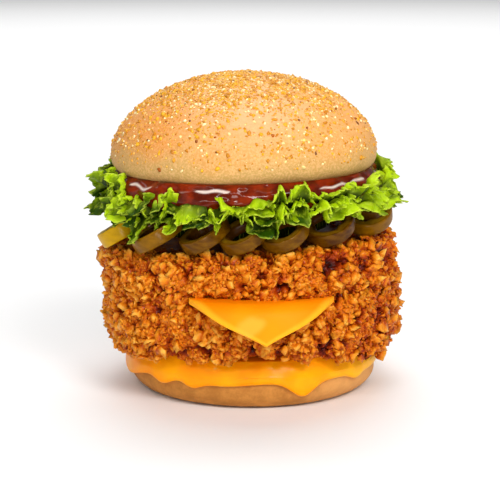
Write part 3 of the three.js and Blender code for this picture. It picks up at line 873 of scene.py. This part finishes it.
# Lettuce in two tiers of frilly leaves
lettuce = {
    "thickness": 0.0004, "middle": -0.0016,
    # steps across a leaf, and from its hidden end to its frill and on to its rim
    "across": 350, "inner": 5, "outer": 24,
    # height and size of the frill's curls, crimps, blisters and teeth
    "curl": 0.0076, "curlSize": 0.0060, "crimp": 0.0042, "crimpSize": 0.0019,
    "blister": 0.0008, "blisterSize": 0.0028, "teeth": 0.0036, "toothSize": 0.0010,
    # the radius at which the frill's pattern has its true size
    "patternRadius": 0.057,
    # how far a fold stills the curls
    "stilled": 0.88,
}
tiers = {
    "lower": {
        # radius, height, and how much of the frill shows
        "rows": [(0.0325, 0.0616, 0), (0.0345, 0.0732, 0), (0.048, 0.0740, 0.03), (0.0522, 0.0740, 0.35),
                 (0.0550, 0.0732, 0.85), (0.0566, 0.0718, 1)],
        "frill": 0.0030, "loop": 0.0014, "sway": 0.0017, "waves": 19, "lean": 2.4, "leanHeight": 0.0602,
        "lowest": -0.0034,
        # the leaf's second sheet: height and reach beside the first, share of the swells, phase
        "second": (0.0032, -0.0014, 0.6, 2.9),
        # node, first and last angle, phase, tone (a lower tone is painted shade, lowest on the left leaves),
        # swells (centre, half width, height, pull inwards), folds (centre, half width, drop, hump)
        "leaves": [
            ("lettuce_lower_left", -170, -49, 0.4, 0.25,
             [(-76, 15, 0.0020, 0.0014), (-100, 15, 0.0, 0.0038), (-138, 24, -0.0040, 0.0)], []),
            ("lettuce_lower_front", -59, 72, 2.1, 0.9,
             [(-47, 7, -0.0050, 0.0), (-34, 8, 0.0010, 0.0), (20, 30, -0.0006, 0.0)], []),
            ("lettuce_lower_back", 76, 186, 4.4, 0.6, [(130, 18, 0.0008, 0.0)], []),
        ],
    },
    "upper": {
        "rows": [(0.029, 0.0753, 0), (0.040, 0.0753, 0), (0.0490, 0.0758, 0.04), (0.0532, 0.0770, 0.35),
                 (0.0554, 0.0772, 0.8), (0.0567, 0.0769, 1)],
        "frill": 0.0038, "loop": 0.0017, "sway": 0.0019, "waves": 17, "lean": 1.0, "leanHeight": 0.0762,
        "lowest": -0.0042,
        "second": (-0.0024, -0.0026, 0.4, 4.3),
        "leaves": [
            ("lettuce_upper_left", -128, -15, 1.2, 0.25,
             [(-104, 9, 0.0095, 0.0024), (-80, 5, 0.004, 0.001), (-62, 5, 0.003, 0.001),
              (-40, 5, 0.0045, 0.001), (-31, 4, 0.0050, 0.001)],
             [(-104, 9, -0.001, 0.0), (-50, 6, 0.0035, 0.001), (-22, 6, 0.0040, 0.0015)]),
            ("lettuce_upper_right", -11, 104, 3.3, 1.0,
             [(10, 7, 0.0062, 0.0002), (40, 17, 0.0076, 0.0002), (72, 8, 0.0026, 0.0004),
              (97, 5, 0.0098, 0.0030)],
             [(37, 15, 0.0010, 0.0005), (-2, 7, 0.0005, 0.0005)]),
            ("lettuce_upper_back", 108, 228, 5.2, 0.5,
             [(132, 9, 0.005, 0.001), (170, 7, 0.007, 0.002), (206, 9, 0.005, 0.001)],
             [(150, 9, 0.004, 0.001), (190, 8, 0.004, 0.001)]),
        ],
    },
}


# How much of a fold is at an angle, and how far the folds lift the leaf there.
def foldsAt(folds, share, angle):
    hump = smooth(share, 0.0, 0.2) * (1 - smooth(share, 0.3, 0.9))
    fold, lifted = 0.0, 0.0
    for centre, halfWidth, drop, rise in folds:
        here = bell(centre, halfWidth, angle)
        fold += here
        lifted += here * (rise * hump - drop * smooth(share, 0.25, 1.0))
    return fold, lifted


# The sheet sways up and down, out and sideways, in three sizes of wave that grow to the rim.
def leafPoint(tier, phase, swells, folds, angle, position):
    turn = math.radians(angle)
    reach, height, share = curveThrough(tier["rows"], position)
    share = max(0.0, min(1.0, share))
    shown = smooth(share, 0.04, 1)
    swell, pulled = bells(swells, angle) * shown, bells(swells, angle, 1) * shown
    rim = smooth(share, 0.15, 1.0)
    arc, inwards = lettuce["patternRadius"] * turn, 0.010 * (1 - share) + 0.3 * phase

    def ruffle(kind, count):
        size = lettuce[kind]
        return noise.noise(Vector((arc / size, inwards / (1.8 * size), 3.7 * count + phase)))

    wave = tier["waves"] * turn + 1.4 * math.sin(3 * turn + phase) + 0.7 * math.sin(7 * turn + 2 * phase)
    wave += phase
    depth = 0.78 + 0.22 * math.sin(5 * turn + phase)
    fold, lifted = foldsAt(folds, share, angle)
    calm = 1 - lettuce["stilled"] * min(1.0, fold)
    curl, crimp = lettuce["curl"] * rim * calm, lettuce["crimp"] * rim * rim * (0.35 + 0.65 * calm)
    curled, crimped = ruffle("curlSize", 1), ruffle("crimpSize", 2)

    up = share * tier["frill"] * depth * math.sin(wave) * (1 + 20 * swell) * calm
    up += curl * curled + crimp * crimped
    up += lettuce["blister"] * smooth(share, 0.02, 0.3) * ruffle("blisterSize", 7) + lifted
    up = max(up, tier["lowest"]) + 0.25 * min(0.0, up - tier["lowest"])
    side = -tier["loop"] * rim * math.sin(2 * wave) * calm + 0.8 * curl * ruffle("curlSize", 3)
    out = tier["sway"] * share * math.cos(wave) + 0.8 * curl * ruffle("curlSize", 4)
    out += crimp * ruffle("crimpSize", 5)
    out += 0.0007 * share * math.sin(11 * turn) - pulled + 0.0022 * share * fold
    teeth = lettuce["teeth"] * smooth(share, 0.75, 1.0)
    out += teeth * (0.5 - min(1.0, 2.2 * abs(ruffle("toothSize", 6))))
    up += 0.4 * teeth * ruffle("toothSize", 8)
    radius = reach + out
    # crest is high on the frill's crests and folds and low in its hollows; the colour uses it for painted
    # shade.
    crest = 0.5 + rim * (0.18 * math.sin(wave) + 0.55 * curled + 0.3 * crimped) + 0.3 * fold
    return placeAt(angle + math.degrees(side / radius), radius, height + swell + up), crest


def makeLeaf(name, tier, leaf, rise=0.0, more=0.0):
    first, last, phase, tone, swells, folds = leaf
    across = lettuce["across"]
    inner, outer = lettuce["inner"], lettuce["outer"]
    lastRow = len(tier["rows"]) - 1
    positions = [2.0 * k / inner for k in range(inner)]
    positions += [2 + (lastRow - 2) * k / outer for k in range(outer + 1)]
    place = leaning(tier["lean"], tier["leanHeight"]) @ Matrix.Translation((lettuce["middle"], 0, 0))
    grid = []
    marks = {"rim": [], "along": [], "crest": [], "leafTone": []}
    for position in positions:
        row = []
        for i in range(across + 1):
            angle = first + (last - first) * i / across
            point, crest = leafPoint(tier, phase, swells, folds, angle, position)
            shown = smooth(position, 1.5, 3)
            row.append(place @ (point + placeAt(angle, more * shown, rise * shown)))
            for values, value in zip(marks.values(), (position / lastRow, math.radians(angle), crest, tone)):
                values.append(value)
        grid.append(row)
    return thinPiece(name, grid, lettuce["thickness"], marks)


def lettuceFinish():
    finish = Finish("lettuce", {"Specular IOR Level": 0.09}, 0.1, (0.002, 0.003, 0.0004))
    rim = finish.mark("rim")
    patch = finish.noise(0.008, 2)
    fine = finish.noise(0.0016, 3, 0.6)
    along = finish.mark("along")
    veinPlace = finish.add("ShaderNodeCombineXYZ", None, {"X": along * 18.0, "Y": rim * 5.0, "Z": 0.0})
    vein = finish.noise(0.5, 2, 0.6, veinPlace)
    crest = finish.mark("crest")
    # Darker in the frill's hollows and on leaves of low tone, chiefly the left ones: painted shade.
    shade = finish.between(crest + patch * 0.35 + fine * 0.3 + finish.mark("leafTone") * 0.42, 0.74, 1.36)
    green = finish.mix(shade, (0.022, 0.062, 0.0002), (0.42, 0.62, 0.003))
    body = finish.over(green, (0.56, 0.72, 0.07), patch, 0.55, 0.72, 0.4)
    # Near-black on the leaf's inner part under the frill: painted shade.
    paintedRecessShade = finish.over((0.010, 0.022, 0.0002), body, rim + patch * 0.25, 0.72, 1.06)
    edge = finish.over(paintedRecessShade, (0.62, 0.76, 0.07), rim + fine * 0.12, 0.98, 1.08, 0.55)
    veined = finish.over(edge, (0.52, 0.62, 0.04), vein, 0.56, 0.66, 0.3)
    looks = {"Base Color": veined, "Roughness": 0.34 + fine * 0.2}
    return finish.dressed(looks, vein * 0.7 + fine * 0.5, 0.0005, 0.5)


leafFinish = lettuceFinish()
for tier in tiers.values():
    for node, *leaf in tier["leaves"]:
        name = "leaf" + "".join(word.capitalize() for word in node.split("_")[1:])
        finished(makeLeaf(name, tier, leaf), leafFinish, "lettuce", node)
        rise, more, share, shift = tier["second"]
        first, last, phase, tone, swells, folds = leaf
        lesser = [(centre, width, share * height, share * pull) for centre, width, height, pull in swells]
        stilled = [(centre, width, 0.0, 0.0) for centre, width, drop, hump in folds]
        leaf = (first + 2, last - 2, phase + shift, tone, lesser, stilled)
        finished(makeLeaf(f"{name}Fold", tier, leaf, rise, more), leafFinish, "lettuce")
print("lettuce made")


# Crown: domed bun with grits
crown = {
    "radius": 0.0515, "bottom": 0.08295, "equator": 0.091,
    "dome": 0.0303, "domePower": 1.1, "lipRadius": 0.036, "lipPower": 2.8,
    "middle": -0.0022, "lean": 1.0, "leanHeight": 0.0826,
    "steps": 260, "lipRings": 18, "domeRings": 60, "unevenness": 0.0005,
    # where its pale spot is, a painted highlight on the dome's front
    "paintedHighlightSpot": (-0.001, -0.033, 0.113),
}
capPlace = leaning(crown["lean"], crown["leanHeight"]) @ Matrix.Translation((crown["middle"], 0, 0))


def crownPoint(j, angle):
    lip, domeRings = crown["lipRings"], crown["domeRings"]
    if j == 0:
        return capPlace @ Vector((0, 0, crown["bottom"])), 0.0
    if j <= lip:
        share = (j - 1) / lip
        across = math.sin(math.pi / 2 * share) ** 0.8
        radius = crown["lipRadius"] + (crown["radius"] - crown["lipRadius"]) * across
        drop = (1 - across ** crown["lipPower"]) ** (1 / crown["lipPower"])
        height = crown["equator"] - (crown["equator"] - crown["bottom"]) * drop
        cover = 0.0
    else:
        climb = math.pi / 2 * (j - lip - 1) / domeRings
        radius = crown["radius"] * math.cos(climb)
        height = crown["equator"] + crown["dome"] * math.sin(climb) ** crown["domePower"]
        patchy = 0.8 + 0.9 * noise.noise(placeAt(angle, radius, height) / 0.014)
        climbed = math.degrees(climb)
        cover = patchy * (0.14 + 0.3 * smooth(climbed, -4, 20) + 1.2 * smooth(climbed, 30, 58))
    point = placeAt(angle, radius, height)
    wobble = 1 + crown["unevenness"] / crown["radius"] * noise.noise(point / 0.016)
    return capPlace @ Vector((point.x * wobble, point.y * wobble, point.z)), max(cover, 0.0)


def crownFinish():
    finish = Finish("bakedCrown", {"Specular IOR Level": 0.2}, 0.05, (0.004, 0.002, 0.001))
    across, height = finish.along("X"), finish.along("Z")
    patch = finish.noise(0.014, 3, 0.55)
    pore = finish.noise(0.0008, 3, 0.7)
    fine = finish.noise(0.0028, 2)
    ends = {0: finish.place, 1: crown["paintedHighlightSpot"]}
    away = finish.add("ShaderNodeVectorMath", {"operation": "DISTANCE"}, ends, "Value")
    # pale: painted highlight round the spot on the dome's front.
    pale = 1 - finish.between(away + patch * 0.016, 0.014, 0.040)
    baked = finish.between(height + patch * 0.014 - 0.007, 0.087, 0.104)
    # Browner higher up, which is baking, and darker orange towards the left side, which is painted shade.
    browningAndShade = finish.between(patch + fine * 0.25 - across * 4.0 + (height - 0.1) * 6.0, 0.52, 0.84)
    # Darker and duller low on the side: painted shade under the curve of the dome.
    side = finish.mix(baked, (0.53, 0.315, 0.088), (0.76, 0.340, 0.086))
    warm = finish.mix(baked * browningAndShade * 0.8, side, (0.74, 0.26, 0.036))
    top = finish.mix(pale * baked * 0.9, warm, (0.82, 0.43, 0.20))
    colour = finish.over(top, (0.90, 0.54, 0.26), pore, 0.42, 0.62, 0.4)
    looks = {"Base Color": colour, "Roughness": 0.5 + pore * 0.25}
    return finish.dressed(looks, pore * 0.6 + fine * 0.4, 0.0004, 0.4)


def gritFinish(name, dark, light):
    finish = Finish(name, {"Roughness": 0.25, "Specular IOR Level": 0.3}, 0.15, (0.002, 0.001, 0.0003))
    fine = finish.noise(0.0007, 2)
    colour = finish.mix(finish.mark("tone") * 0.7 + fine * 0.3, dark, light)
    return finish.dressed({"Base Color": colour}, fine, 0.0003, 0.4)


grits = {"Flatness": 0.8, "Tilt": 0.8, "Ragged": 0.5, "Sunk": 0.0001, "Sides": 5, "Rings": 3}
# name, dark and light colour, grains for each square metre, smallest and largest radius, seed
gritKinds = [
    ("fineMeal", (0.50, 0.155, 0.005), (0.96, 0.56, 0.11), 1050000.0, 0.00025, 0.0006, 41),
    ("goldenGrits", (0.46, 0.135, 0.002), (0.97, 0.50, 0.022), 380000.0, 0.0004, 0.0010, 3),
    ("paleGrits", (0.98, 0.70, 0.20), (1.0, 0.92, 0.60), 210000.0, 0.0003, 0.0007, 17),
    ("brownSpecks", (0.06, 0.012, 0.001), (0.50, 0.12, 0.002), 24000.0, 0.0003, 0.0008, 23),
]
crownRings = crown["lipRings"] + crown["domeRings"] + 2
crownBun = turnedPiece("crownBun", crownRings, crown["steps"], crownPoint, ("cover",))
for name, dark, light, cover, smallest, largest, seed in gritKinds:
    finish = gritFinish(name.removesuffix("s"), dark, light)
    values = {"Cover": cover, "Smallest": smallest, "Largest": largest, "Seed": seed, "Finish": finish}
    finished(scattered(name, crownBun, grainTree, {**grits, **values}), finish, "crown")
finished(crownBun, crownFinish(), "crown", "crown")
print("crown made")


# Red sauce, pressed out in a thick bead under the crown
redSauce = {
    "radius": 0.0506, "bottom": 0.0762, "innerBottom": 0.0776, "top": 0.0826, "steps": 480, "rings": 84,
    "waves": [(0.00025, 8, 0.0), (0.0002, 13, 1.05)],
    # depth of the lobes round its edge, and the size and share of each of their two noises
    "lobes": 0.0018, "lobeNoises": [(0.0080, 1.0), (0.0038, 0.30)],
    # painted highlight streak, a near-white glossy line: height over the bottom, half width, waves
    "line": 0.0066, "paintedStreakHalf": 0.00050, "paintedStreakWave": 0.0018,
    # angle, half width in degrees, length of the drip
    "drips": [(-62, 9, 0.0009), (-38, 7, 0.0020), (-15, 9, 0.0022), (28, 7, 0.0011), (62, 8, 0.001),
              (125, 9, 0.0012), (170, 8, 0.0014), (215, 9, 0.0012), (252, 8, 0.001)],
}


def paintedStreakAt(angle, height):
    line = redSauce["line"] + redSauce["paintedStreakWave"] * noise.noise(placeAt(angle, 8.0, 0.3))
    broken = smooth(noise.noise(placeAt(angle, 5.5, 0.7)), -0.28, 0.16)
    half = redSauce["paintedStreakHalf"] * math.sqrt(broken)
    away = abs(height - redSauce["bottom"] - line)
    return smooth(broken, 0.0, 0.15) * (1 - smooth(away, 0.3 * half, 1.3 * half + 0.0001))


def redSaucePoint(j, angle):
    swell = bells(redSauce["drips"], angle)
    bottom, top = redSauce["bottom"], redSauce["top"]
    out = redSauce["radius"] + 0.55 * swell + waved(redSauce["waves"], angle)
    rows = [
        (0, redSauce["innerBottom"]), (0.020, redSauce["innerBottom"]), (0.036, redSauce["innerBottom"]),
        (0.0465, bottom + 0.0002), (out - 0.0006, bottom + 0.0001 - 0.6 * swell),
        (out + 0.0010, bottom + 0.0012 - 0.5 * swell), (out + 0.0017, bottom + 0.0030 - 0.2 * swell),
        (out + 0.0011, bottom + 0.0053), (out - 0.0001, bottom + 0.0073), (out - 0.0014, top + 0.0024),
        (0.0478, top + 0.0023), (0.044, top + 0.0004), (0.020, top), (0, top),
    ]
    radius, height = outlinePoint(rows, j, redSauce["rings"])
    spot = placeAt(angle, radius, height)
    spot.z *= 1.6
    outer = smooth(radius, 0.046, 0.050)
    ripple = sum(share * noise.noise(spot / size) for size, share in redSauce["lobeNoises"])
    radius += outer * redSauce["lobes"] * ripple
    return capPlace @ placeAt(angle, max(radius, 0), height), paintedStreakAt(angle, height) * outer


def redSauceFinish():
    values = {"Roughness": 0.4, "Specular IOR Level": 0.03,
              "Coat Weight": 1.0, "Coat Roughness": 0.04, "Coat IOR": 1.30}
    finish = Finish("redSauce", values, 0.05, (0.003, 0.0004, 0.0002))
    cloud = finish.noise(0.006, 3, 0.6)
    body = finish.over((0.085, 0.006, 0.0004), (0.24, 0.019, 0.0006), cloud, 0.35, 0.7)
    # The streak is a painted highlight: near-white in the colour.
    colour = finish.mix(finish.mark("line") * 0.9, body, (0.86, 0.72, 0.64))
    return finish.dressed({"Base Color": colour}, finish.noise(0.005, 1), 0.0005, 0.3)


redBead = turnedPiece("redSauceBead", redSauce["rings"], redSauce["steps"], redSaucePoint, ("line",))
finished(redBead, redSauceFinish(), "red_sauce", "red_sauce")
print("red sauce made")


# Pale floor and soft studio light
studio = {"floorSide": 10.0, "world": 0.16}
lights = [
    # name, place, aim, width, depth, power, colour
    ("keyLight", (0.50, -0.88, 0.85), (0, 0, 0.06), 0.45, 0.45, 6.1, (1.0, 0.99, 0.98)),
    ("stripLight", (0.05, -0.85, 0.80), (0, 0, 0.06), 1.5, 0.06, 7.0, (1.0, 0.99, 0.98)),
    ("frontLight", (0.12, -1.3, 0.17), (0, 0, 0.04), 0.45, 0.30, 4.3, (1.0, 0.99, 0.98)),
    ("fillLight", (-0.85, -0.65, 0.45), (0, 0, 0.06), 0.8, 0.8, 1.1, (1.0, 0.98, 0.96)),
    ("topLight", (0.05, 0.30, 1.2), (0, 0, 0.06), 0.8, 0.8, 3.4, (1.0, 1.0, 1.0)),
    ("floorLight", (0, 2.0, 1.6), (0, 2.0, 0), 3.0, 2.6, 54.0, (1.0, 1.0, 1.0)),
]


def makeStudio():
    side = studio["floorSide"] / 2
    mesh = bpy.data.meshes.new("floor")
    corners = [(-side, -side, 0), (side, -side, 0), (side, side, 0), (-side, side, 0)]
    mesh.from_pydata(corners, [], [(0, 1, 2, 3)])
    floor = bpy.data.objects.new("floor", mesh)
    bpy.context.scene.collection.objects.link(floor)
    pale = Finish("paleFloor", {"Base Color": (0.92, 0.92, 0.92, 1.0), "Roughness": 0.6})
    mesh.materials.append(pale.material)
    world = bpy.data.worlds.new("studio")
    world.use_nodes = True
    background = world.node_tree.nodes["Background"]
    background.inputs["Color"].default_value = (1.0, 1.0, 1.0, 1.0)
    background.inputs["Strength"].default_value = studio["world"]
    bpy.context.scene.world = world
    for name, place, aim, width, depth, power, colour in lights:
        data = bpy.data.lights.new(name, "AREA")
        data.shape = "RECTANGLE"
        data.size = width
        data.size_y = depth
        data.energy = power
        data.color = colour
        light = bpy.data.objects.new(name, data)
        light.location = place
        light.rotation_euler = (Vector(aim) - Vector(place)).to_track_quat("-Z", "Y").to_euler()
        bpy.context.scene.collection.objects.link(light)


makeStudio()
bpy.context.scene.view_settings.view_transform = "Standard"
print("studio made")
